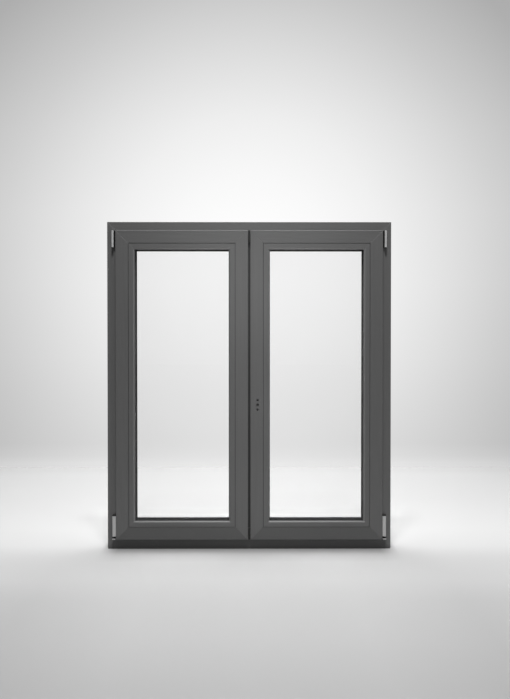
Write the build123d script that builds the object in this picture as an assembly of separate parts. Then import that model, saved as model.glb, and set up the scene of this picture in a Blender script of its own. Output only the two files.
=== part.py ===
"""Two-leaf casement window that opens into the room, of dark foiled plastic profiles.

X runs to the right as seen from the room, the room side faces -Y and +Z is up.
The origin is on the frame's bottom face, at mid width and mid frame depth.
Millimetres.
"""

from build123d import *

import os

# Overall size
WINDOW_WIDTH = 1300.0
WINDOW_HEIGHT = 1500.0
FRAME_DEPTH = 74.0

# Low foot under the bottom rail, set back from both faces
FOOT_HEIGHT = 5.0
FOOT_SETBACK = 1.5

# Frame profile, widths measured inward from the outer edge
FRAME_FACE = 40.0
SASH_OVERLAP = 8.0
OUTER_LEG_REACH = 20.0
OUTER_LEG_DEPTH = 16.0
OUTER_LEG_SLOPE_RUN = 6.0
OUTER_LEG_SLOPE_DEPTH = 12.0
EDGE_RADIUS = 1.5
CHANNEL_WIDTH = 12.0
CHANNEL_DEPTH = 3.0
CHANNEL_OFFSET = 18.0

# Shallow groove left along each corner's 45 degree joint
SEAM_WIDTH = 2.4
SEAM_DEPTH = 0.5

# Drain slots in the outside face of the bottom rail
DRAIN_COUNT = 3
DRAIN_PITCH = 430.0
DRAIN_LENGTH = 30.0
DRAIN_HEIGHT = 5.0
DRAIN_DEPTH = 10.0
DRAIN_LEVEL = 20.0

# Leaf profile, widths measured inward from the leaf's own edge
SASH_PROUD = 16.0
SASH_FACE = 58.0
FLANGE_THICKNESS = 13.0
FITTING_AIR = 12.0
REBATE_GASKET = 4.0
SASH_LEG_THICKNESS = 10.0
SASH_LEG_REACH = 30.5
SASH_LEG_SLOPE_RUN = 4.0
SASH_LEG_SLOPE_DEPTH = 5.0
MEETING_GAP = 11.0

# Glazing bead
BEAD_WIDTH = 29.0
BEAD_SETBACK = 1.0
BEAD_GROOVE_WIDTH = 1.6
BEAD_GROOVE_DEPTH = 3.0
BEAD_BEVEL_RUN = 6.5
BEAD_BEVEL_DEPTH = 4.5
CLIP_THICKNESS = 3.4
CLIP_LENGTH = 4.0
CLIP_SETBACK = 6.0
CLIP_CLEARANCE = 0.3

# Insulating glass unit
GLASS_THICKNESS = 4.0
SPACER_WIDTH = 16.0
SPACER_HEIGHT = 12.0
GLASS_EDGE_CLEARANCE = 5.0
GLAZING_GASKET = 3.0
GASKET_SEAT = 6.0
GASKET_LIP = 1.5

# Seals between the leaves and the frame
SEAL_WIDTH = 5.0
SEAL_INSET = 1.5
REBATE_SEAL_INSET = 1.0
REBATE_SEAL_WIDTH = 6.0

# Floating mullion between the leaves
MULLION_AIR = 12.0
MULLION_FLANGE_THICKNESS = 10.0
MULLION_FLANGE_LAP = 20.0
MULLION_CAP_LENGTH = 42.0
MULLION_END_CLEARANCE = 4.0
MULLION_FLANGE_CLEARANCE = 2.0
MULLION_SEAL_INSET = 4.0
PLUG_PROUD = 8.0
PLUG_SIDE_AIR = 0.5
PLUG_FRAME_AIR = 0.5

# Drilled holes for the handle, height measured from the frame's own lower edge
HANDLE_HEIGHT = 659.0
HANDLE_INSET = 32.5
HANDLE_SCREW_PITCH = 43.0
HANDLE_SCREW_RADIUS = 5.0
HANDLE_SPINDLE_RADIUS = 6.0
HANDLE_HOLE_DEPTH = 24.0

# Hinges, all on one axis per side; heights measured from the frame's own lower edge
HINGE_AXIS_INSET = 27.0
HINGE_AXIS_PROUD = 11.0
HINGE_TURN_GAP = 0.3
PIN_RADIUS = 2.1
PIN_CLEARANCE = 0.15
TOP_BARREL_RADIUS = 5.0
TOP_BEARING_TOP_DROP = 40.7
TOP_BEARING_HEIGHT = 59.0
TOP_KNUCKLE_HEIGHT = 17.0
UNDERLAY_THICKNESS = 2.0
UNDERLAY_MARGIN = 0.7
PIN_HEAD_RADIUS = 4.0
PIN_HEAD_HEIGHT = 4.0
LUG_THICKNESS = 4.0
LUG_SETBACK = 3.0
LUG_MARGIN = 2.0
SLEEVE_WIDTH = 16.5
SLEEVE_HEIGHT = 99.2
SLEEVE_BASE = 56.3
SLEEVE_FRAME_AIR = 1.3
SLEEVE_PROUD = 18.0
SLEEVE_CORNER = 4.5
SLEEVE_DOME = 3.0
CAP_LINE_DROPS = (10.5, 23.0)
CAP_LINE_DEPTH = 0.6
CAP_LINE_HEIGHT = 0.8
BOTTOM_PIN_REACH = 44.0
BEARING_WIDTH = 14.5
BEARING_SHIFT = 2.5
BEARING_HEIGHT = 9.2
BEARING_DROP = 6.6
BEARING_PROUD = 16.0
BEARING_CORNER = 3.0
BEARING_SLOT_WIDTH = 1.6
BEARING_SLOT_DEPTH = 2.0

# Heights that follow
FRAME_HEIGHT = WINDOW_HEIGHT - FOOT_HEIGHT
LEAF_HEIGHT = FRAME_HEIGHT - 2 * FRAME_FACE
MID_HEIGHT = FRAME_HEIGHT / 2

# Levels of depth that follow from the sizes above
ROOM_FACE = -FRAME_DEPTH / 2
OUTSIDE_FACE = FRAME_DEPTH / 2
OUTER_LEG_FACE = OUTSIDE_FACE - OUTER_LEG_DEPTH
SASH_ROOM_FACE = ROOM_FACE - SASH_PROUD
FLANGE_BACK = SASH_ROOM_FACE + FLANGE_THICKNESS
SASH_OUTSIDE_FACE = OUTER_LEG_FACE - REBATE_GASKET
OUTER_GASKET_BACK = SASH_OUTSIDE_FACE - SASH_LEG_THICKNESS
GLASS_BACK = OUTER_GASKET_BACK - GLAZING_GASKET
UNIT_THICKNESS = 2 * GLASS_THICKNESS + SPACER_WIDTH
GLASS_FRONT = GLASS_BACK - UNIT_THICKNESS
BEAD_BACK = GLASS_FRONT - GLAZING_GASKET
BEAD_FACE = SASH_ROOM_FACE + BEAD_SETBACK

# Widths that follow
REBATE_EDGE = FRAME_FACE + SASH_OVERLAP
OUTER_LEG_EDGE = REBATE_EDGE + OUTER_LEG_REACH
SASH_BODY_EDGE = SASH_OVERLAP + FITTING_AIR
SIGHT_LINE = SASH_FACE + BEAD_WIDTH
SASH_LEG_EDGE = SASH_FACE + SASH_LEG_REACH
GLASS_EDGE = SASH_FACE + GLASS_EDGE_CLEARANCE
LEAF_WIDTH = (WINDOW_WIDTH - 2 * FRAME_FACE - MEETING_GAP) / 2
LEAF_CENTRE = (MEETING_GAP + LEAF_WIDTH) / 2
MEETING_EDGE = MEETING_GAP / 2
BODY_OFFSET = MEETING_EDGE + SASH_BODY_EDGE

# Turn of the bottom member about the depth axis that brings it to each side
SIDE_ANGLES = {"bottom": 0, "left": 90, "top": 180, "right": 270}
MITRE_ANGLE = 45


def outline(points, radius=EDGE_RADIUS):
    """Face of a profile from (width, depth) points; a third value True rounds that corner."""
    corners = [(depth, width) for width, depth, *_ in points]
    face = make_face(Polyline(*corners, close=True))
    for width, depth, *rounded in points:
        if rounded:
            corner = face.vertices().sort_by_distance((depth, width))[0]
            face = fillet(corner, radius)
    return face


def seam(length):
    """Cutter of shallow diamond section along X, centred on the origin."""
    half = SEAM_WIDTH / 2
    section = make_face(Polyline((SEAM_DEPTH, 0), (0, half), (-SEAM_DEPTH, 0), (0, -half), close=True))
    return extrude(Plane.YZ * section, length, both=True)


def member(profile, width, height, side, faces):
    """One mitred member of a rectangle centred on the origin, with seam grooves in the named faces."""
    upright = side in ("left", "right")
    length, across = (height, width) if upright else (width, height)
    half = length / 2
    reach = profile.bounding_box().max.Y + EDGE_RADIUS
    bar = extrude(Plane.YZ * profile, half, both=True)
    corners = [(-half, 0), (half, 0), (half - reach, reach), (reach - half, reach)]
    trapezoid = make_face(Polyline(*corners, close=True))
    bar &= extrude(Plane.XZ * trapezoid, WINDOW_WIDTH, both=True)
    for depth in faces:
        bar -= Pos(-half, depth, 0) * Rot(0, -MITRE_ANGLE, 0) * seam(2 * reach)
        bar -= Pos(half, depth, 0) * Rot(0, MITRE_ANGLE, 0) * seam(2 * reach)
    return Rot(0, SIDE_ANGLES[side], 0) * Pos(0, 0, -across / 2) * bar


def ring(width, height, inset, band, front, back):
    """Closed rectangular band between two depths, its outer edge inset from a width by height rectangle."""
    outer = Rectangle(width - 2 * inset, height - 2 * inset)
    inner = Rectangle(width - 2 * (inset + band), height - 2 * (inset + band))
    return Pos(0, front, 0) * extrude(Plane.XZ * (outer - inner), front - back)


def block(x_low, x_high, y_low, y_high, z_low, z_high):
    """Box between two corners."""
    size = (x_high - x_low, y_high - y_low, z_high - z_low)
    middle = ((x_low + x_high) / 2, (y_low + y_high) / 2, (z_low + z_high) / 2)
    return Pos(*middle) * Box(*size)


def frame_profile():
    """Frame section: room leg, open rebate and the longer outside leg with its sloped edge."""
    channels = []
    for middle in (CHANNEL_OFFSET, -CHANNEL_OFFSET):
        channels += [
            (0, middle + CHANNEL_WIDTH / 2),
            (CHANNEL_DEPTH, middle + CHANNEL_WIDTH / 2),
            (CHANNEL_DEPTH, middle - CHANNEL_WIDTH / 2),
            (0, middle - CHANNEL_WIDTH / 2),
        ]
    return outline(
        [
            (0, ROOM_FACE, True),
            (REBATE_EDGE, ROOM_FACE, True),
            (REBATE_EDGE, OUTER_LEG_FACE),
            (OUTER_LEG_EDGE, OUTER_LEG_FACE, True),
            (OUTER_LEG_EDGE, OUTSIDE_FACE - OUTER_LEG_SLOPE_DEPTH),
            (OUTER_LEG_EDGE - OUTER_LEG_SLOPE_RUN, OUTSIDE_FACE, True),
            (0, OUTSIDE_FACE, True),
            *channels,
        ]
    )


def sash_profile():
    """Leaf section: overlap flange, body, glazing rebate with the bead's clip slot, outside leg."""
    clip_front = SASH_ROOM_FACE + CLIP_SETBACK
    clip_back = clip_front + CLIP_THICKNESS + 2 * CLIP_CLEARANCE
    clip_floor = SASH_FACE - CLIP_LENGTH - CLIP_CLEARANCE
    return outline(
        [
            (0, SASH_ROOM_FACE, True),
            (SASH_FACE, SASH_ROOM_FACE),
            (SASH_FACE, clip_front),
            (clip_floor, clip_front),
            (clip_floor, clip_back),
            (SASH_FACE, clip_back),
            (SASH_FACE, OUTER_GASKET_BACK),
            (SASH_LEG_EDGE, OUTER_GASKET_BACK),
            (SASH_LEG_EDGE, SASH_OUTSIDE_FACE - SASH_LEG_SLOPE_DEPTH),
            (SASH_LEG_EDGE - SASH_LEG_SLOPE_RUN, SASH_OUTSIDE_FACE, True),
            (SASH_BODY_EDGE, SASH_OUTSIDE_FACE),
            (SASH_BODY_EDGE, FLANGE_BACK),
            (0, FLANGE_BACK),
        ]
    )


def bead_profile():
    """Glazing bead section: flat face, bevelled sight edge, and the clip that holds it in the sash."""
    clip_front = SASH_ROOM_FACE + CLIP_SETBACK + CLIP_CLEARANCE
    clip_back = clip_front + CLIP_THICKNESS
    clip_tip = SASH_FACE - CLIP_LENGTH
    groove_edge = SASH_FACE + BEAD_GROOVE_WIDTH
    groove_floor = BEAD_FACE + BEAD_GROOVE_DEPTH
    return outline(
        [
            (groove_edge, groove_floor),
            (groove_edge, BEAD_FACE),
            (SIGHT_LINE - BEAD_BEVEL_RUN, BEAD_FACE),
            (SIGHT_LINE, BEAD_FACE + BEAD_BEVEL_DEPTH),
            (SIGHT_LINE, BEAD_BACK),
            (SASH_FACE, BEAD_BACK),
            (SASH_FACE, clip_back),
            (clip_tip, clip_back),
            (clip_tip, clip_front),
            (SASH_FACE, clip_front),
            (SASH_FACE, groove_floor),
        ]
    )


def frame_members():
    """Four mitred frame members; the bottom rail has drain slots outside and stands on a low foot."""
    names = {
        "bottom": "frame_bottom_rail",
        "left": "frame_jamb_left",
        "top": "frame_head",
        "right": "frame_jamb_right",
    }
    members = {}
    for side, name in names.items():
        bar = member(frame_profile(), WINDOW_WIDTH, FRAME_HEIGHT, side, (ROOM_FACE, OUTSIDE_FACE))
        members[name] = Pos(0, 0, MID_HEIGHT) * bar
    rail = members["frame_bottom_rail"]
    slot = extrude(Plane.XZ * SlotOverall(DRAIN_LENGTH, DRAIN_HEIGHT), DRAIN_DEPTH)
    first = -DRAIN_PITCH * (DRAIN_COUNT - 1) / 2
    for index in range(DRAIN_COUNT):
        rail -= Pos(first + index * DRAIN_PITCH, OUTSIDE_FACE, DRAIN_LEVEL) * slot
    rail += block(
        FOOT_SETBACK - WINDOW_WIDTH / 2,
        WINDOW_WIDTH / 2 - FOOT_SETBACK,
        ROOM_FACE + FOOT_SETBACK,
        OUTSIDE_FACE - FOOT_SETBACK,
        -FOOT_HEIGHT,
        0,
    )
    members["frame_bottom_rail"] = rail
    return members


def handle_holes():
    """Cutters for the spindle hole and the two screw holes, centred on the handle's place."""
    cutters = Plane.XZ * Circle(HANDLE_SPINDLE_RADIUS)
    for step in (-0.5, 0.5):
        cutters += Plane.XZ * Pos(0, step * HANDLE_SCREW_PITCH) * Circle(HANDLE_SCREW_RADIUS)
    place = Pos(MEETING_EDGE + HANDLE_INSET, SASH_ROOM_FACE, HANDLE_HEIGHT)
    return place * extrude(cutters, -HANDLE_HOLE_DEPTH)


def leaf(hand):
    """Everything in one leaf: stiles, rails, beads, glass unit and its gaskets."""
    centre = Pos(LEAF_CENTRE if hand == "right" else -LEAF_CENTRE, 0, MID_HEIGHT)
    hinge_side, meeting_side = ("right", "left") if hand == "right" else ("left", "right")
    sides = {
        "top": ("sash_top_rail", "bead_top"),
        "bottom": ("sash_bottom_rail", "bead_bottom"),
        hinge_side: ("sash_hinge_stile", "bead_hinge_side"),
        meeting_side: ("sash_meeting_stile", "bead_meeting_side"),
    }
    sash_faces = (SASH_ROOM_FACE, SASH_OUTSIDE_FACE)
    pieces = {}
    for side, (sash_name, bead_name) in sides.items():
        bar = member(sash_profile(), LEAF_WIDTH, LEAF_HEIGHT, side, sash_faces)
        bead = member(bead_profile(), LEAF_WIDTH, LEAF_HEIGHT, side, (BEAD_FACE,))
        pieces[f"{hand}_{sash_name}"] = centre * bar
        pieces[f"{hand}_{bead_name}"] = centre * bead
    glass = Rectangle(LEAF_WIDTH - 2 * GLASS_EDGE, LEAF_HEIGHT - 2 * GLASS_EDGE)
    pane = extrude(Plane.XZ * glass, -GLASS_THICKNESS)
    pieces[f"{hand}_pane_room"] = centre * Pos(0, GLASS_FRONT, 0) * pane
    pieces[f"{hand}_pane_outside"] = centre * Pos(0, GLASS_BACK - GLASS_THICKNESS, 0) * pane
    gasket_band = GASKET_SEAT + GASKET_LIP
    gap_front = GLASS_FRONT + GLASS_THICKNESS
    bands = {
        "pane_spacer": (GLASS_EDGE, SPACER_HEIGHT, gap_front, gap_front + SPACER_WIDTH),
        "glazing_gasket_room": (SIGHT_LINE - GASKET_SEAT, gasket_band, BEAD_BACK, GLASS_FRONT),
        "glazing_gasket_outside": (SASH_LEG_EDGE - GASKET_SEAT, gasket_band, GLASS_BACK, OUTER_GASKET_BACK),
        "sash_gasket": (SEAL_INSET, SEAL_WIDTH, FLANGE_BACK, ROOM_FACE),
    }
    for name, (inset, band, front, back) in bands.items():
        pieces[f"{hand}_{name}"] = centre * ring(LEAF_WIDTH, LEAF_HEIGHT, inset, band, front, back)
    return pieces


def rebate_gasket():
    """Seal on the frame's outside leg, against the outside faces of the leaves."""
    band = ring(
        WINDOW_WIDTH,
        FRAME_HEIGHT,
        REBATE_EDGE + FITTING_AIR + REBATE_SEAL_INSET,
        REBATE_SEAL_WIDTH,
        SASH_OUTSIDE_FACE,
        OUTER_LEG_FACE,
    )
    return Pos(0, 0, MID_HEIGHT) * band


def mullion():
    """Floating mullion on the left leaf: stem in the gap, outside cover, seal and two end caps."""
    stem_right = BODY_OFFSET - MULLION_AIR
    cover_left = -BODY_OFFSET - MULLION_FLANGE_LAP
    cover_right = BODY_OFFSET + MULLION_FLANGE_LAP
    cover_back = OUTER_LEG_FACE + MULLION_FLANGE_THICKNESS
    stem_low = REBATE_EDGE + MULLION_END_CLEARANCE
    cover_low = OUTER_LEG_EDGE + MULLION_FLANGE_CLEARANCE
    cap_top = stem_low + MULLION_CAP_LENGTH

    def stem(low, high):
        return block(-BODY_OFFSET, stem_right, ROOM_FACE, SASH_OUTSIDE_FACE, low, high)

    def cover(low, high):
        section = outline(
            [
                (cover_left, SASH_OUTSIDE_FACE),
                (stem_right, SASH_OUTSIDE_FACE),
                (stem_right, OUTER_LEG_FACE),
                (cover_right, OUTER_LEG_FACE),
                (cover_right, cover_back, True),
                (cover_left, cover_back, True),
            ]
        )
        upright = Plane((0, 0, low), x_dir=(0, 1, 0), z_dir=(0, 0, 1))
        return mirror(extrude(upright * section, high - low), about=Plane.YZ)

    plug_half = MEETING_EDGE - PLUG_SIDE_AIR
    plug_front = ROOM_FACE - PLUG_PROUD
    cap = stem(stem_low, cap_top) + cover(cover_low, cap_top)
    cap += block(-plug_half, plug_half, plug_front, ROOM_FACE, stem_low, cap_top)
    cap += block(-plug_half, plug_half, plug_front, ROOM_FACE - PLUG_FRAME_AIR, FRAME_FACE, stem_low)
    seal_left = cover_right - MULLION_SEAL_INSET - REBATE_SEAL_WIDTH
    seal = block(
        seal_left,
        seal_left + REBATE_SEAL_WIDTH,
        SASH_OUTSIDE_FACE,
        OUTER_LEG_FACE,
        cover_low,
        FRAME_HEIGHT - cover_low,
    )
    return {
        "meeting_mullion": stem(cap_top, FRAME_HEIGHT - cap_top) + cover(cap_top, FRAME_HEIGHT - cap_top),
        "mullion_cap_bottom": cap,
        "mullion_cap_top": Pos(0, 0, FRAME_HEIGHT) * mirror(cap, about=Plane.XY),
        "mullion_gasket": seal,
    }


def top_hinge():
    """Top hinge of the left side: frame bearing with its underlay and pin, and the leaf's knuckle."""
    axis = -WINDOW_WIDTH / 2 + HINGE_AXIS_INSET
    depth = ROOM_FACE - HINGE_AXIS_PROUD
    high = FRAME_HEIGHT - TOP_BEARING_TOP_DROP
    low = high - TOP_BEARING_HEIGHT
    knuckle_high = low - HINGE_TURN_GAP
    knuckle_low = knuckle_high - TOP_KNUCKLE_HEIGHT
    middle = (high + low) / 2
    bearing = Pos(axis, depth, middle) * Cylinder(TOP_BARREL_RADIUS, TOP_BEARING_HEIGHT)
    bearing += block(axis - TOP_BARREL_RADIUS, axis + TOP_BARREL_RADIUS, depth, ROOM_FACE, low, high)
    bearing += block(
        axis,
        FRAME_FACE - UNDERLAY_MARGIN - WINDOW_WIDTH / 2,
        ROOM_FACE - UNDERLAY_THICKNESS,
        ROOM_FACE,
        knuckle_low,
        high,
    )
    head_high = knuckle_low - HINGE_TURN_GAP
    pin_low = head_high - PIN_HEAD_HEIGHT
    pin = Pos(axis, depth, (low + pin_low) / 2) * Cylinder(PIN_RADIUS, low - pin_low)
    head = Pos(axis, depth, (head_high + pin_low) / 2) * Cylinder(PIN_HEAD_RADIUS, PIN_HEAD_HEIGHT)
    knuckle = Cylinder(TOP_BARREL_RADIUS, TOP_KNUCKLE_HEIGHT)
    knuckle = Pos(axis, depth, (knuckle_high + knuckle_low) / 2) * knuckle
    knuckle += block(
        axis,
        FRAME_FACE - WINDOW_WIDTH / 2,
        depth + LUG_SETBACK,
        depth + LUG_SETBACK + LUG_THICKNESS,
        knuckle_low + LUG_MARGIN,
        knuckle_high - LUG_MARGIN,
    )
    knuckle -= Pos(axis, depth, knuckle_low) * Cylinder(PIN_RADIUS + PIN_CLEARANCE, 4 * TOP_KNUCKLE_HEIGHT)
    return {"bearing": bearing + pin + head, "knuckle": knuckle}


def bottom_hinge():
    """Bottom hinge of the left side: foot bearing with its pin, and the leaf's tall sleeve."""
    axis = -WINDOW_WIDTH / 2 + HINGE_AXIS_INSET
    depth = ROOM_FACE - HINGE_AXIS_PROUD
    low, high = SLEEVE_BASE, SLEEVE_BASE + SLEEVE_HEIGHT
    front, back = ROOM_FACE - SLEEVE_PROUD, ROOM_FACE - SLEEVE_FRAME_AIR
    middle = FRAME_FACE - (WINDOW_WIDTH + SLEEVE_WIDTH) / 2
    section = Pos(middle, (front + back) / 2) * RectangleRounded(SLEEVE_WIDTH, back - front, SLEEVE_CORNER)
    sleeve = Pos(0, 0, low) * extrude(section, SLEEVE_HEIGHT)
    sleeve = fillet(sleeve.faces().sort_by(Axis.Z)[-1].edges(), SLEEVE_DOME)
    slim = offset(section, -CAP_LINE_DEPTH)
    for drop in CAP_LINE_DROPS:
        sleeve -= Pos(0, 0, high - drop) * extrude(section - slim, -CAP_LINE_HEIGHT)
    bore_height = BOTTOM_PIN_REACH + HINGE_TURN_GAP
    sleeve -= Pos(axis, depth, low + bore_height / 2) * Cylinder(PIN_RADIUS + PIN_CLEARANCE, bore_height)
    bearing_high = low - BEARING_DROP
    bearing_low = bearing_high - BEARING_HEIGHT
    bearing_front = ROOM_FACE - BEARING_PROUD
    bearing_middle = axis + BEARING_SHIFT
    base = Pos(bearing_middle, (ROOM_FACE + bearing_front) / 2) * Rectangle(BEARING_WIDTH, BEARING_PROUD)
    base = fillet(base.vertices().sort_by(Axis.Y)[:2], BEARING_CORNER)
    bearing = Pos(0, 0, bearing_low) * extrude(base, BEARING_HEIGHT)
    bearing -= block(
        bearing_middle - BEARING_SLOT_WIDTH / 2,
        bearing_middle + BEARING_SLOT_WIDTH / 2,
        bearing_front,
        bearing_front + BEARING_SLOT_DEPTH,
        bearing_low,
        bearing_high,
    )
    pin_height = BOTTOM_PIN_REACH + BEARING_DROP
    bearing += Pos(axis, depth, bearing_high + pin_height / 2) * Cylinder(PIN_RADIUS, pin_height)
    return {"bearing": bearing, "sleeve": sleeve}


def hinges():
    """Both hinges of both sides; the right side is the left one mirrored."""
    pieces = {}
    for place, parts in (("top", top_hinge()), ("bottom", bottom_hinge())):
        for name, piece in parts.items():
            pieces[f"left_{place}_hinge_{name}"] = piece
            pieces[f"right_{place}_hinge_{name}"] = mirror(piece, about=Plane.YZ)
    return pieces


def window():
    """All pieces of the window by name."""
    pieces = frame_members()
    for hand in ("left", "right"):
        pieces |= leaf(hand)
    pieces["right_sash_meeting_stile"] -= handle_holes()
    pieces["frame_rebate_gasket"] = rebate_gasket()
    pieces |= mullion()
    pieces |= hinges()
    return {name: Pos(0, 0, FOOT_HEIGHT) * piece for name, piece in pieces.items()}


os.makedirs("parts", exist_ok=True)
for node, solid in window().items():
    export_step(solid, f"parts/{node}.step")
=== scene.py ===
import math

import bpy
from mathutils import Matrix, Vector


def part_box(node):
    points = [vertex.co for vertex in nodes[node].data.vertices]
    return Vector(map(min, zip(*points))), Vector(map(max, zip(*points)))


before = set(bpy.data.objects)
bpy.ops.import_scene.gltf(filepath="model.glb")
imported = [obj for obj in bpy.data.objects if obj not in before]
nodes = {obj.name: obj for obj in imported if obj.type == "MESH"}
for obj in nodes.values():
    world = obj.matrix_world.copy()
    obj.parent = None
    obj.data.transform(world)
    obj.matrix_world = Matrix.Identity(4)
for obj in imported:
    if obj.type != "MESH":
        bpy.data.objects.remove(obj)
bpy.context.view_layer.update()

# The photograph's frame, the sensor and the viewpoint, in pixels, millimetres, metres and degrees
IMAGE_HEIGHT = 699
FOCAL_PIXELS = 720.4
SENSOR = 36.0
CAMERA_PLACE = (0.0141, -3.3397, 0.9591)
CAMERA_PITCH = 0.74
CAMERA_YAW = -0.211

# Studio, in metres, with the number of steps in the backdrop's sweep
FLOOR_NEAR = -25.0
SWEEP_START = 2.1
SWEEP_RADIUS = 1.5
SWEEP_STEPS = 32
WALL_TOP = 9.0
STUDIO_HALF_WIDTH = 12.0

# Brightness of the backdrop: a part that follows height, and a glow by distance from one point
LEVEL_STOPS = [
    (0.0, 0.5),
    (0.03, 0.44),
    (0.1, 0.405),
    (0.3, 0.424),
    (0.8, 0.465),
    (1.5, 0.498),
    (2.2, 0.506),
    (3.0, 0.483),
    (4.4, 0.41),
]
GLOW_HEIGHT = 1.6
GLOW_SQUASH = 0.85
GLOW_STOPS = [
    (0.0, 0.485),
    (0.4, 0.477),
    (0.8, 0.445),
    (1.3, 0.376),
    (1.8, 0.277),
    (2.4, 0.148),
    (3.2, 0.0),
]

# Reflectance of the floor by depth, nearest first, set so that it looks as in the photograph; its changes
# with depth are painted light and shade, darker toward the front
FLOOR_STOPS = [
    (-8.0, 0.17),
    (-1.4, 0.233),
    (-1.05, 0.267),
    (-0.69, 0.294),
    (-0.47, 0.316),
    (-0.27, 0.312),
    (-0.17, 0.314),
    (0.0, 0.343),
    (0.3, 0.36),
    (1.0, 0.345),
    (1.6, 0.345),
    (1.76, 0.348),
    (1.87, 0.343),
    (1.99, 0.338),
    (2.1, 0.338),
]

# Share of that reflectance kept toward the sides, in front of the window and behind it; the darkening
# toward the sides is painted shade
FRONT_SIDE_STOPS = [(0.0, 1.0), (0.4, 0.975), (0.8, 0.83), (1.3, 0.81), (2.0, 0.76)]
BACK_SIDE_STOPS = [(0.0, 1.0), (0.5, 0.97), (0.9, 0.95), (1.5, 0.9), (2.0, 0.84)]
SIDE_CHANGE = (-0.7, 0.0)

# Floor near the window, by depth and width: painted shade under it and just behind, painted light in the
# head's shadow
CONTACT_SHADE_STOPS = [
    (-0.24, 1.0),
    (-0.16, 0.9),
    (-0.12, 0.8),
    (-0.08, 0.6),
    (-0.04, 0.45),
    (0.05, 0.45),
    (0.1, 0.7),
    (0.45, 0.8),
    (0.55, 1.15),
    (0.6, 1.3),
    (0.66, 1.11),
    (0.72, 0.985),
    (0.83, 0.94),
    (1.05, 0.96),
    (1.3, 1.0),
]
CONTACT_SHADE_WIDTH_STOPS = [(0.0, 1.0), (0.6, 1.0), (0.68, 0.0), (1.0, 0.0)]

# Painted light on the floor along the shadows of the jambs, which slant outward with depth
RELIEF_SLANT = 0.217
RELIEF_DEPTH_STOPS = [
    (0.0, 0.0),
    (0.15, 0.04),
    (0.3, 0.1),
    (0.45, 0.13),
    (0.6, 0.14),
    (0.75, 0.03),
    (0.85, 0.0),
]
RELIEF_WIDTH_STOPS = [(0.58, 0.0), (0.65, 1.0), (0.685, 1.0), (0.705, 0.62), (0.745, 0.2), (0.79, 0.0)]

# Faces and ends of pieces that a change of finish is measured from
BEAD_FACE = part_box("right_bead_top")[0][1]
FRAME_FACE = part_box("frame_head")[0][1]
KNUCKLE_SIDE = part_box("right_top_hinge_knuckle")[1][0]
KNUCKLE_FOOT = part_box("right_top_hinge_knuckle")[0][2]
SLEEVE_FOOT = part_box("right_bottom_hinge_sleeve")[0][2]
SLEEVE_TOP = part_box("right_bottom_hinge_sleeve")[1][2]

# Places where a piece's finish or painted shade changes, in metres
GROOVE_START = BEAD_FACE + 0.0005
GROOVE_END = BEAD_FACE + 0.0035
ROOM_SIDE_END = FRAME_FACE + 0.007
HINGE_BARREL_INNER = KNUCKLE_SIDE - 0.0099
PIN_HEAD_TOP = KNUCKLE_FOOT - 0.0001
# Where the painted shade on the bottom hinge lies
SLEEVE_SHADE_START = SLEEVE_TOP - 0.0063
BEARING_SHADE_HEIGHT = SLEEVE_FOOT - 0.0068
BEARING_SHADE_REACH = 0.0028

# Share of the surface's normal along Y that tells a bead's bevel, and how far it may differ
BEVEL_FACING = 0.82
BEVEL_MARGIN = 0.1

# Greys and gloss of the painted parts, and the two greys of the foil's streaks
FOIL_GREYS = (0.071, 0.079)
# Painted shade on the bottom rails' room side
LOWER_FOIL_SHADE_GREY = 0.059
# Bare core between the leaves, painted dark as the shade in that recess
MULLION_CORE_SHADE_GREY = 0.036
# Painted shade in the groove beside each bead
GROOVE_SHADE_GREY = 0.01
# Black beside and below the top hinge's barrel: dark hardware together with painted shade
HINGE_BLACK_AND_SHADE_GREY = 0.01
# Painted shade on the bottom hinge, at the sleeve's top end and between sleeve and bearing
HINGE_CAP_AND_RING_SHADE_GREY = 0.012
PLAIN_GLOSS = 0.5
BLACK_GLOSS = 0.1
NO_GLOSS = 0.0

# Noise values at which a surface reaches its two greys, and the limits of a value from 0 to 1
NOISE_LOW = 0.3
NOISE_HIGH = 0.7
UNIT = (0.0, 1.0)

# Foil: scale of its streaks by axis, drawn out along the grain, and its lowest and highest roughness
UPRIGHT_STREAKS = (1.0, 1.0, 0.02)
LEVEL_STREAKS = (0.02, 1.0, 1.0)
FOIL_ROUGHNESS = (0.4, 0.5)

# Bump of the foil and of the plain finishes: strength, and height in metres
FOIL_BUMP = (0.12, 0.0002)
PLAIN_BUMP = (0.15, 0.0001)

# Plain finishes: two greys, lowest and highest roughness, scale of the mottling, metallic share
PLAIN_FINISHES = {
    "black_moulding": ((0.008, 0.011), (0.55, 0.65), 900.0, 0.0),
    "seal_rubber": ((0.022, 0.03), (0.6, 0.75), 1200.0, 0.0),
    "spacer_metal": ((0.2, 0.24), (0.4, 0.55), 700.0, 0.6),
    "bottom_hinge_coating": ((0.35, 0.39), (0.45, 0.55), 900.0, 0.3),
    "top_hinge_coating": ((0.4, 0.44), (0.4, 0.5), 900.0, 0.3),
}

# Glass: refraction, and the share of lamp light that a pane lets through
GLASS_REFRACTION = 1.4
GLASS_PASSAGE = (0.97, 0.97, 0.97, 1.0)
WHITE = (1.0, 1.0, 1.0, 1.0)

# Each bead's finish and painted light: whether its grain runs along Z, the bevel's grey, and the bare
# core's grey.
# The greys are painted light and shade that follow the light lines round the glass, which the lamps alone
# don't give.
# right_side is the right leaf's bead on its hinge side, painted brighter than the left leaf's to follow
# the light there.
BEAD_FINISHES_AND_PAINTED_LIGHT = {
    "top": (False, 0.145, 0.155),
    "bottom": (False, 0.049, 0.014),
    "hinge_side": (True, 0.108, 0.065),
    "meeting_side": (True, 0.08, 0.045),
    "right_side": (True, 0.125, 0.105),
}

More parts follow.
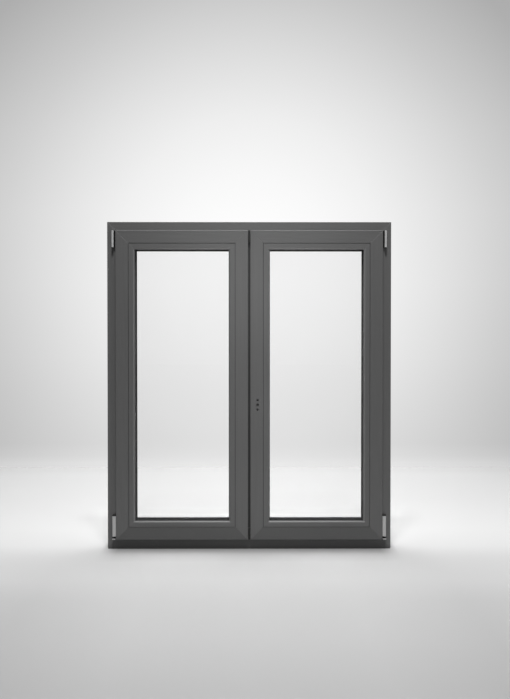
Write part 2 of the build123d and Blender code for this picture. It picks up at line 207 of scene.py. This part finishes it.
# Area lamps: place, target, width, depth, power in watts, and whether reflections show them
AREA_LAMPS = {
    "overhead_front": ((0.0, -3.0, 9.0), (0.0, -0.4, 0.4), 1.8, 1.2, 1335.0, True),
    "overhead_back": ((0.0, 1.4, 3.6), (0.0, 1.4, 0.0), 3.6, 2.8, 160.0, True),
    "side_left": ((-3.4, -2.0, 1.1), (0.5, 0.0, 0.8), 1.0, 1.6, 18.0, False),
    "side_right": ((3.4, -2.0, 1.1), (-0.5, 0.0, 0.8), 1.0, 1.6, 46.0, False),
}

# Soft spots: place, target, cone in degrees and power in watts
SOFT_SPOTS = {
    "upper_glow": ((0.03, -2.4, 1.6), (0.03, 0.0, 1.42), 32.0, 92.0),
    "middle_glow": ((0.03, -2.4, 1.4), (0.03, 0.0, 1.05), 27.0, 68.0),
    "lower_glow": ((0.03, -2.4, 0.9), (0.03, 0.0, 0.4), 23.0, 50.0),
}
SPOT_RADIUS = 0.1

# Colour of the world and of the backdrop as a lit surface, and the strength of the world's light
PALE = (0.8, 0.8, 0.8, 1.0)
WORLD_STRENGTH = 0.03


def node_material(name):
    """Empty node material with its Principled shader and output."""
    material = bpy.data.materials.new(name)
    material.use_nodes = True
    tree = material.node_tree
    shader = next(n for n in tree.nodes if n.type == "BSDF_PRINCIPLED")
    output = next(n for n in tree.nodes if n.type == "OUTPUT_MATERIAL")
    return material, tree, shader, output


def add(tree, kind, **values):
    """New node with inputs set by name and other attributes set directly."""
    node = tree.nodes.new(kind)
    for key, value in values.items():
        if key in node.inputs:
            node.inputs[key].default_value = value
        else:
            setattr(node, key, value)
    return node


def link(tree, start, end):
    """Connects two sockets."""
    tree.links.new(start, end)


def ramp(tree, source, stops):
    """Grey ramp fed by source, from (position, grey) stops between 0 and 1."""
    node = tree.nodes.new("ShaderNodeValToRGB")
    elements = node.color_ramp.elements
    while len(elements) < len(stops):
        elements.new(0.5)
    for element, (position, value) in zip(elements, stops):
        element.position = position
        element.color = (value, value, value, 1.0)
    link(tree, source, node.inputs[0])
    return node.outputs[0]


def rescale(tree, source, start, end):
    """Maps one range of values to another, each a pair, and holds at the limits."""
    node = add(tree, "ShaderNodeMapRange")
    for key, value in zip(("From Min", "From Max", "To Min", "To Max"), start + end):
        node.inputs[key].default_value = value
    link(tree, source, node.inputs["Value"])
    return node.outputs[0]


def measured_ramp(tree, source, stops):
    """Grey ramp whose stop positions are in the source's own unit."""
    low, high = stops[0][0], stops[-1][0]
    share = rescale(tree, source, (low, high), UNIT)
    return ramp(tree, share, [((p - low) / (high - low), v) for p, v in stops])


def mottle(tree, noise, greys, target):
    """Drives a colour with noise, from the first grey to the second."""
    link(tree, ramp(tree, noise, [(NOISE_LOW, greys[0]), (NOISE_HIGH, greys[1])]), target)


def emboss(tree, noise, bump_values, shader):
    """Fine bump driven by noise, from its strength and height."""
    strength, height = bump_values
    bump = add(tree, "ShaderNodeBump", Strength=strength, Distance=height)
    link(tree, noise, bump.inputs["Height"])
    link(tree, bump.outputs[0], shader.inputs["Normal"])


def feed(tree, value, socket):
    """Sets a socket to a plain number, or links it to another socket."""
    if isinstance(value, float):
        socket.default_value = value
    else:
        link(tree, value, socket)


def calculate(tree, operation, *values):
    """Output of a math node fed by sockets and plain numbers."""
    node = add(tree, "ShaderNodeMath", operation=operation)
    for socket, value in zip(node.inputs, values):
        feed(tree, value, socket)
    return node.outputs[0]


def blend(tree, share, first, second):
    """Value that goes from the first to the second as the share goes from 0 to 1."""
    node = add(tree, "ShaderNodeMix", data_type="FLOAT")
    feed(tree, share, node.inputs[0])
    feed(tree, first, node.inputs[2])
    feed(tree, second, node.inputs[3])
    return node.outputs[0]


def place_axes(tree):
    """Object coordinates of the shaded point, one socket per axis."""
    split = add(tree, "ShaderNodeSeparateXYZ")
    link(tree, add(tree, "ShaderNodeTexCoord").outputs["Object"], split.inputs[0])
    return split.outputs


def repaint(tree, shader, mask, grey, gloss=None):
    """Where the mask is 1, shows another grey, and another gloss if one is given."""
    finish = add(tree, "ShaderNodeMix", data_type="RGBA")
    link(tree, mask, finish.inputs[0])
    link(tree, shader.inputs["Base Color"].links[0].from_socket, finish.inputs[6])
    finish.inputs[7].default_value = (grey, grey, grey, 1.0)
    link(tree, finish.outputs[2], shader.inputs["Base Color"])
    if gloss is not None:
        change = rescale(tree, mask, UNIT, (PLAIN_GLOSS, gloss))
        link(tree, change, shader.inputs["Specular IOR Level"])


def make_foil(name, grain_along_z):
    """Satin anthracite foil: fine leather-like emboss with faint streaks along the profile."""
    material, tree, shader, _ = node_material(name)
    place = add(tree, "ShaderNodeTexCoord").outputs["Object"]
    stretch = add(tree, "ShaderNodeMapping")
    stretch.inputs["Scale"].default_value = UPRIGHT_STREAKS if grain_along_z else LEVEL_STREAKS
    link(tree, place, stretch.inputs["Vector"])
    streaks = add(tree, "ShaderNodeTexNoise", Scale=220.0, Detail=4.0, Roughness=0.6)
    link(tree, stretch.outputs[0], streaks.inputs["Vector"])
    grain = add(tree, "ShaderNodeTexNoise", Scale=1500.0, Detail=3.0, Roughness=0.55)
    link(tree, place, grain.inputs["Vector"])
    mottle(tree, streaks.outputs["Fac"], FOIL_GREYS, shader.inputs["Base Color"])
    link(tree, rescale(tree, grain.outputs["Fac"], UNIT, FOIL_ROUGHNESS), shader.inputs["Roughness"])
    emboss(tree, grain.outputs["Fac"], FOIL_BUMP, shader)
    return material, tree, shader


def make_bead_foil(name, grain_along_z, bevel_painted_grey, bare_core_painted_grey):
    """Foil with painted light on the bevel (painted shade on the bottom bead's), bare core plastic beside
    the glass in a grey painted to that side's light and shade, and painted shade in the groove.
    """
    material, tree, shader = make_foil(name, grain_along_z)
    facing = add(tree, "ShaderNodeSeparateXYZ")
    link(tree, add(tree, "ShaderNodeNewGeometry").outputs["True Normal"], facing.inputs[0])
    turned = calculate(tree, "ABSOLUTE", facing.outputs["Y"])
    bevel = calculate(tree, "COMPARE", turned, BEVEL_FACING, BEVEL_MARGIN)
    flat = calculate(tree, "SUBTRACT", 1.0, bevel)
    depth = place_axes(tree)["Y"]
    groove_shade = calculate(tree, "MULTIPLY", flat, calculate(tree, "GREATER_THAN", depth, GROOVE_START))
    beyond = calculate(tree, "MULTIPLY", flat, calculate(tree, "GREATER_THAN", depth, GROOVE_END))
    # Painted highlight on the bevel (painted shade on the bottom bead's), painted shade in the groove,
    # and the bare core's grey painted to that side's light and shade
    repaint(tree, shader, bevel, bevel_painted_grey)
    repaint(tree, shader, groove_shade, GROOVE_SHADE_GREY, NO_GLOSS)
    repaint(tree, shader, beyond, bare_core_painted_grey)
    return material


def make_lower_foil():
    """Foil of the bottom rails, with painted shade making the room side a little darker, as the
    photograph shows it.
    """
    material, tree, shader = make_foil("anthracite_foil_lower", False)
    room_side = calculate(tree, "LESS_THAN", place_axes(tree)["Y"], ROOM_SIDE_END)
    repaint(tree, shader, room_side, LOWER_FOIL_SHADE_GREY)
    return material


def make_mullion_foil():
    """Foil outside, bare core plastic on the face that shows between the leaves, painted dark as the
    shade in that recess.
    """
    material, tree, shader = make_foil("mullion_foil", True)
    room_side = calculate(tree, "LESS_THAN", place_axes(tree)["Y"], ROOM_SIDE_END)
    repaint(tree, shader, room_side, MULLION_CORE_SHADE_GREY, NO_GLOSS)
    return material


def make_plain(name):
    """Moulded or coated surface: mottled colour and roughness over a fine bump."""
    greys, roughness, scale, metallic = PLAIN_FINISHES[name]
    material, tree, shader, _ = node_material(name)
    noise = add(tree, "ShaderNodeTexNoise", Scale=scale, Detail=4.0, Roughness=0.6)
    link(tree, add(tree, "ShaderNodeTexCoord").outputs["Object"], noise.inputs["Vector"])
    mottle(tree, noise.outputs["Fac"], greys, shader.inputs["Base Color"])
    link(tree, rescale(tree, noise.outputs["Fac"], UNIT, roughness), shader.inputs["Roughness"])
    emboss(tree, noise.outputs["Fac"], PLAIN_BUMP, shader)
    shader.inputs["Metallic"].default_value = metallic
    return material, tree, shader


def make_top_hinge():
    """Hinge coating painted black beside the barrel and on the pin head below it: dark hardware together
    with painted shade of the gap beside the barrel and under the hinge.
    """
    material, tree, shader = make_plain("top_hinge_coating")
    axes = place_axes(tree)
    beside = calculate(tree, "LESS_THAN", calculate(tree, "ABSOLUTE", axes["X"]), HINGE_BARREL_INNER)
    below = calculate(tree, "LESS_THAN", axes["Z"], PIN_HEAD_TOP)
    repaint(tree, shader, calculate(tree, "MAXIMUM", beside, below), HINGE_BLACK_AND_SHADE_GREY, BLACK_GLOSS)
    return material


def make_bottom_hinge():
    """Hinge coating with painted shade in black: on the sleeve's top end and as a ring between sleeve and
    bearing.
    """
    material, tree, shader = make_plain("bottom_hinge_coating")
    height = place_axes(tree)["Z"]
    sleeve_shade = calculate(tree, "GREATER_THAN", height, SLEEVE_SHADE_START)
    bearing_shade = calculate(tree, "COMPARE", height, BEARING_SHADE_HEIGHT, BEARING_SHADE_REACH)
    repaint(tree, shader, calculate(tree, "MAXIMUM", sleeve_shade, bearing_shade), HINGE_CAP_AND_RING_SHADE_GREY, BLACK_GLOSS)
    return material


def make_glass():
    """Clear float glass that lets lamp light through."""
    material, tree, shader, output = node_material("clear_glass")
    shader.inputs["Base Color"].default_value = WHITE
    shader.inputs["Transmission Weight"].default_value = 1.0
    shader.inputs["IOR"].default_value = GLASS_REFRACTION
    shader.inputs["Roughness"].default_value = 0.0
    path = add(tree, "ShaderNodeLightPath")
    clear = add(tree, "ShaderNodeBsdfTransparent", Color=GLASS_PASSAGE)
    mix = tree.nodes.new("ShaderNodeMixShader")
    link(tree, path.outputs["Is Shadow Ray"], mix.inputs["Fac"])
    link(tree, shader.outputs[0], mix.inputs[1])
    link(tree, clear.outputs[0], mix.inputs[2])
    link(tree, mix.outputs[0], output.inputs["Surface"])
    return material


def dress_nodes():
    """Gives every piece of the window its finish."""
    upright_foil, _, _ = make_foil("anthracite_foil_upright", True)
    level_foil, _, _ = make_foil("anthracite_foil_level", False)
    lower_foil = make_lower_foil()
    beads = {}
    for place, (grain_along_z, bevel_painted_grey, bare_core_painted_grey) in BEAD_FINISHES_AND_PAINTED_LIGHT.items():
        beads[place] = make_bead_foil("bead_foil_" + place, grain_along_z, bevel_painted_grey, bare_core_painted_grey)
    mullion_foil = make_mullion_foil()
    black, _, _ = make_plain("black_moulding")
    rubber, _, _ = make_plain("seal_rubber")
    spacer, _, _ = make_plain("spacer_metal")
    bottom_hinge = make_bottom_hinge()
    top_hinge = make_top_hinge()
    glass = make_glass()
    for name, node in nodes.items():
        if "top_hinge" in name:
            material = top_hinge
        elif "hinge_bearing" in name or "hinge_sleeve" in name:
            material = bottom_hinge
        elif "gasket" in name:
            material = rubber
        elif "spacer" in name:
            material = spacer
        elif "pane" in name:
            material = glass
        elif "mullion_cap" in name:
            material = black
        elif name == "meeting_mullion":
            material = mullion_foil
        elif name == "right_bead_hinge_side":
            material = beads["right_side"]
        elif "_bead_" in name:
            material = beads[name.split("_bead_")[1]]
        elif name.endswith("bottom_rail"):
            material = lower_foil
        elif any(word in name for word in ("top", "bottom", "head")):
            material = level_foil
        else:
            material = upright_foil
        node.data.materials.clear()
        node.data.materials.append(material)


def studio_surface(name, vertices, faces):
    """Stage object with a matt material; returns the object, its node tree, shader and output."""
    mesh = bpy.data.meshes.new(name)
    mesh.from_pydata(vertices, [], faces)
    surface = bpy.data.objects.new(name, mesh)
    bpy.context.scene.collection.objects.link(surface)
    material, tree, shader, output = node_material("studio_" + name)
    shader.inputs["Roughness"].default_value = 0.9
    shader.inputs["Specular IOR Level"].default_value = 0.0
    mesh.materials.append(material)
    return surface, tree, shader, output


def make_floor():
    """Pale floor that takes the window's shadow, with painted light and shade in its tone by depth and
    width.
    """
    side = STUDIO_HALF_WIDTH
    near_corners = [(-side, FLOOR_NEAR, 0), (side, FLOOR_NEAR, 0)]
    far_corners = [(side, SWEEP_START, 0), (-side, SWEEP_START, 0)]
    _, tree, shader, _ = studio_surface("floor", near_corners + far_corners, [(0, 1, 2, 3)])
    axes = place_axes(tree)
    depth = axes["Y"]
    aside = calculate(tree, "ABSOLUTE", axes["X"])
    front_share = measured_ramp(tree, aside, FRONT_SIDE_STOPS)
    back_share = measured_ramp(tree, aside, BACK_SIDE_STOPS)
    side_share = blend(tree, rescale(tree, depth, SIDE_CHANGE, UNIT), front_share, back_share)
    # Painted shade: the floor's tone darkens toward the front and the sides
    tone = calculate(tree, "MULTIPLY", measured_ramp(tree, depth, FLOOR_STOPS), side_share)
    # Painted shade under the window and just behind it, painted light in the head's shadow
    width_share = measured_ramp(tree, aside, CONTACT_SHADE_WIDTH_STOPS)
    contact_shade = blend(tree, width_share, 1.0, measured_ramp(tree, depth, CONTACT_SHADE_STOPS))
    near = calculate(tree, "MULTIPLY", tone, contact_shade)
    # Painted light along the jambs' shadows
    slanted = calculate(tree, "MULTIPLY", depth, RELIEF_SLANT)
    across = measured_ramp(tree, calculate(tree, "SUBTRACT", aside, slanted), RELIEF_WIDTH_STOPS)
    relief = calculate(tree, "MULTIPLY", measured_ramp(tree, depth, RELIEF_DEPTH_STOPS), across)
    lifted = calculate(tree, "MULTIPLY", near, calculate(tree, "ADD", relief, 1.0))
    link(tree, lifted, shader.inputs["Base Color"])


def make_backdrop():
    """Swept backdrop that shows its own brightness, with a soft glow, to the camera and in the glass."""
    profile = []
    for step in range(SWEEP_STEPS + 1):
        angle = math.pi / 2 * step / SWEEP_STEPS
        depth = SWEEP_START + SWEEP_RADIUS * math.sin(angle)
        profile.append((depth, SWEEP_RADIUS * (1 - math.cos(angle))))
    profile.append((SWEEP_START + SWEEP_RADIUS, WALL_TOP))
    vertices = [(x, y, z) for y, z in profile for x in (-STUDIO_HALF_WIDTH, STUDIO_HALF_WIDTH)]
    faces = [(2 * i, 2 * i + 1, 2 * i + 3, 2 * i + 2) for i in range(len(profile) - 1)]
    backdrop, tree, shader, output = studio_surface("backdrop", vertices, faces)
    backdrop.data.shade_smooth()
    shader.inputs["Base Color"].default_value = PALE
    level = measured_ramp(tree, place_axes(tree)["Z"], LEVEL_STOPS)
    centred = add(tree, "ShaderNodeMapping")
    centred.inputs["Location"].default_value = (0.0, 0.0, -GLOW_HEIGHT * GLOW_SQUASH)
    centred.inputs["Scale"].default_value = (1.0, 0.0, GLOW_SQUASH)
    link(tree, add(tree, "ShaderNodeTexCoord").outputs["Object"], centred.inputs["Vector"])
    distance = add(tree, "ShaderNodeVectorMath", operation="LENGTH")
    link(tree, centred.outputs[0], distance.inputs[0])
    glow = measured_ramp(tree, distance.outputs["Value"], GLOW_STOPS)
    emission = add(tree, "ShaderNodeEmission")
    link(tree, calculate(tree, "ADD", level, glow), emission.inputs["Strength"])
    path = add(tree, "ShaderNodeLightPath")
    seen = path.outputs["Is Camera Ray"]
    for kind in ("Is Transmission Ray", "Is Glossy Ray"):
        seen = calculate(tree, "MAXIMUM", seen, path.outputs[kind])
    mix = tree.nodes.new("ShaderNodeMixShader")
    link(tree, seen, mix.inputs["Fac"])
    link(tree, shader.outputs[0], mix.inputs[1])
    link(tree, emission.outputs[0], mix.inputs[2])
    link(tree, mix.outputs[0], output.inputs["Surface"])


def place_lamp(light, place, target, reflected):
    """Aims a lamp at a point and hides it from the camera, through the glass too."""
    lamp = bpy.data.objects.new(light.name, light)
    lamp.location = place
    direction = Vector(target) - Vector(place)
    lamp.rotation_euler = direction.to_track_quat("-Z", "Y").to_euler()
    lamp.visible_camera = False
    lamp.visible_transmission = False
    lamp.visible_glossy = reflected
    bpy.context.scene.collection.objects.link(lamp)


def area_lamp(name, place, target, width, depth, power, reflected):
    """Rectangular soft lamp aimed at a point."""
    light = bpy.data.lights.new(name, "AREA")
    light.shape = "RECTANGLE"
    light.size = width
    light.size_y = depth
    light.energy = power
    place_lamp(light, place, target, reflected)


def soft_spot(name, place, target, angle, power):
    """Spot lamp with a wide soft edge that no reflection shows."""
    light = bpy.data.lights.new(name, "SPOT")
    light.spot_size = math.radians(angle)
    light.spot_blend = 1.0
    light.shadow_soft_size = SPOT_RADIUS
    light.energy = power
    place_lamp(light, place, target, False)


def light_studio():
    """Steep overhead light in front, a broad one behind, weak sides and soft spots down the middle."""
    for name, values in AREA_LAMPS.items():
        area_lamp(name, *values)
    for name, values in SOFT_SPOTS.items():
        soft_spot(name, *values)
    world = bpy.data.worlds.new("studio_world")
    world.use_nodes = True
    background = next(n for n in world.node_tree.nodes if n.type == "BACKGROUND")
    background.inputs["Color"].default_value = PALE
    background.inputs["Strength"].default_value = WORLD_STRENGTH
    bpy.context.scene.world = world


def place_camera():
    """Camera at the photograph's viewpoint, with no lens shift."""
    data = bpy.data.cameras.new("camera")
    data.sensor_fit = "AUTO"
    data.sensor_width = SENSOR
    data.lens = FOCAL_PIXELS / IMAGE_HEIGHT * SENSOR
    camera = bpy.data.objects.new("camera", data)
    camera.location = CAMERA_PLACE
    camera.rotation_euler = (math.radians(90.0 - CAMERA_PITCH), 0.0, math.radians(CAMERA_YAW))
    bpy.context.scene.collection.objects.link(camera)
    bpy.context.scene.camera = camera


dress_nodes()
make_floor()
make_backdrop()
light_studio()
place_camera()
bpy.context.scene.view_settings.view_transform = "Standard"
